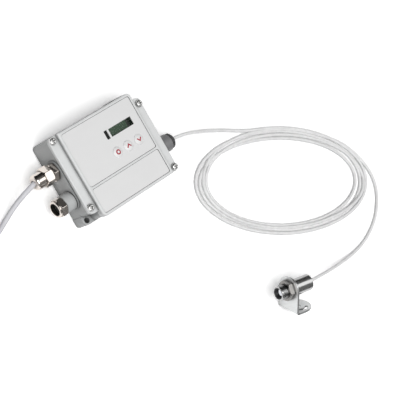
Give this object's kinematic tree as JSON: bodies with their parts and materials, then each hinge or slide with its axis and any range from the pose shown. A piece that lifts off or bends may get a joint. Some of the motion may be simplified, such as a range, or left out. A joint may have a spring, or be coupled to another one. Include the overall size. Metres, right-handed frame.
{
  "type": "infrared temperature sensor",
  "caption": "Cast signal box with display, push buttons and cable glands, joined by a coiled thin cable to a small threaded sensing head in a bent slotted bracket.",
  "frame": {"origin": "centre of the signal box's flat back face, at the height of the surface it lies on", "axes": "+X along the box towards the sensor cable's entry, +Z out of the lid, +Y towards the display edge"},
  "size_m": [0.4035, 0.2436, 0.0309],
  "materials": {
    "cast_base": "fine cast surface, satin",
    "cast_lid": "fine cast surface, satin",
    "screw_steel": "bright zinc plate",
    "bracket_steel": "rolled sheet, fine brush marks",
    "head_steel": "turned",
    "nickel_plate": "nickel plated, bright",
    "grey_boss": "cast, satin",
    "detector_can": "drawn can",
    "gasket_rubber": "matt",
    "label_film": "printed film, satin",
    "clear_window": "clear",
    "dark_window": "smoked",
    "display_green": "unlit display",
    "circuit_board": "solder mask",
    "black_plastic": "moulded",
    "button_white": "domed, satin",
    "actuator_plastic": "moulded",
    "terminal_green": "moulded",
    "capacitor_sleeve": "shrink sleeve",
    "relief_grey": "moulded",
    "relief_dark": "moulded, ribbed",
    "lens_coat": "coated",
    "cable_white": "smooth jacket",
    "cable_grey": "smooth jacket",
    "core_insulation": "smooth",
    "ferrule_metal": "tinned"
  },
  "bodies": {
    "root": {"base_housing": "cast_base", "lid": "cast_lid", "lid_gasket": "gasket_rubber", "lid_screws": "screw_steel", "upper_label": "label_film", "lower_label": "label_film", "display_window": "clear_window", "status_window": "dark_window", "display_module": "display_green", "display_board": "circuit_board", "display_screws": "screw_steel", "key_switches": "black_plastic", "board_link": "black_plastic", "main_board": "circuit_board", "board_screws": "screw_steel", "supply_terminals": "terminal_green", "sensor_terminals": "terminal_green", "processor": "black_plastic", "capacitors": "capacitor_sleeve", "supply_gland_body": "nickel_plate", "supply_gland_nut": "nickel_plate", "supply_gland_seal": "gasket_rubber", "supply_gland_locknut": "nickel_plate", "spare_gland_body": "grey_boss", "spare_gland_nut": "nickel_plate", "spare_gland_seal": "gasket_rubber", "spare_gland_locknut": "nickel_plate", "relief_body": "relief_grey", "relief_nut": "relief_dark", "relief_sleeve": "cable_white", "relief_locknut": "nickel_plate", "supply_lead_in": "cable_grey", "sensor_lead_in": "cable_white", "head_housing": "head_steel", "head_nut": "head_steel", "lens": "lens_coat", "lens_ring": "black_plastic", "detector": "detector_can", "head_board": "circuit_board", "head_rear_cap": "head_steel", "bracket": "bracket_steel", "sensor_cable_box_end": "cable_white", "sensor_cable_coil": "cable_white", "sensor_cable_head_end": "cable_white", "supply_cable": "cable_grey", "supply_cable_coil": "cable_grey", "supply_cores": "core_insulation", "supply_ferrules": "ferrule_metal"},
    "key_mode": {"button_mode": "button_white", "actuator_mode": "actuator_plastic"},
    "key_up": {"button_up": "button_white", "actuator_up": "actuator_plastic"},
    "key_down": {"button_down": "button_white", "actuator_down": "actuator_plastic"}
  },
  "joints": [
    {"name": "button_mode_press", "type": "slide", "parent": "root", "child": "key_mode", "axis": [0, 0, -1], "range_m": [0, 0.0005], "stiffness_N_per_m": 400},
    {"name": "button_up_press", "type": "slide", "parent": "root", "child": "key_up", "axis": [0, 0, -1], "range_m": [0, 0.0005], "stiffness_N_per_m": 400},
    {"name": "button_down_press", "type": "slide", "parent": "root", "child": "key_down", "axis": [0, 0, -1], "range_m": [0, 0.0005], "stiffness_N_per_m": 400}
  ]
}
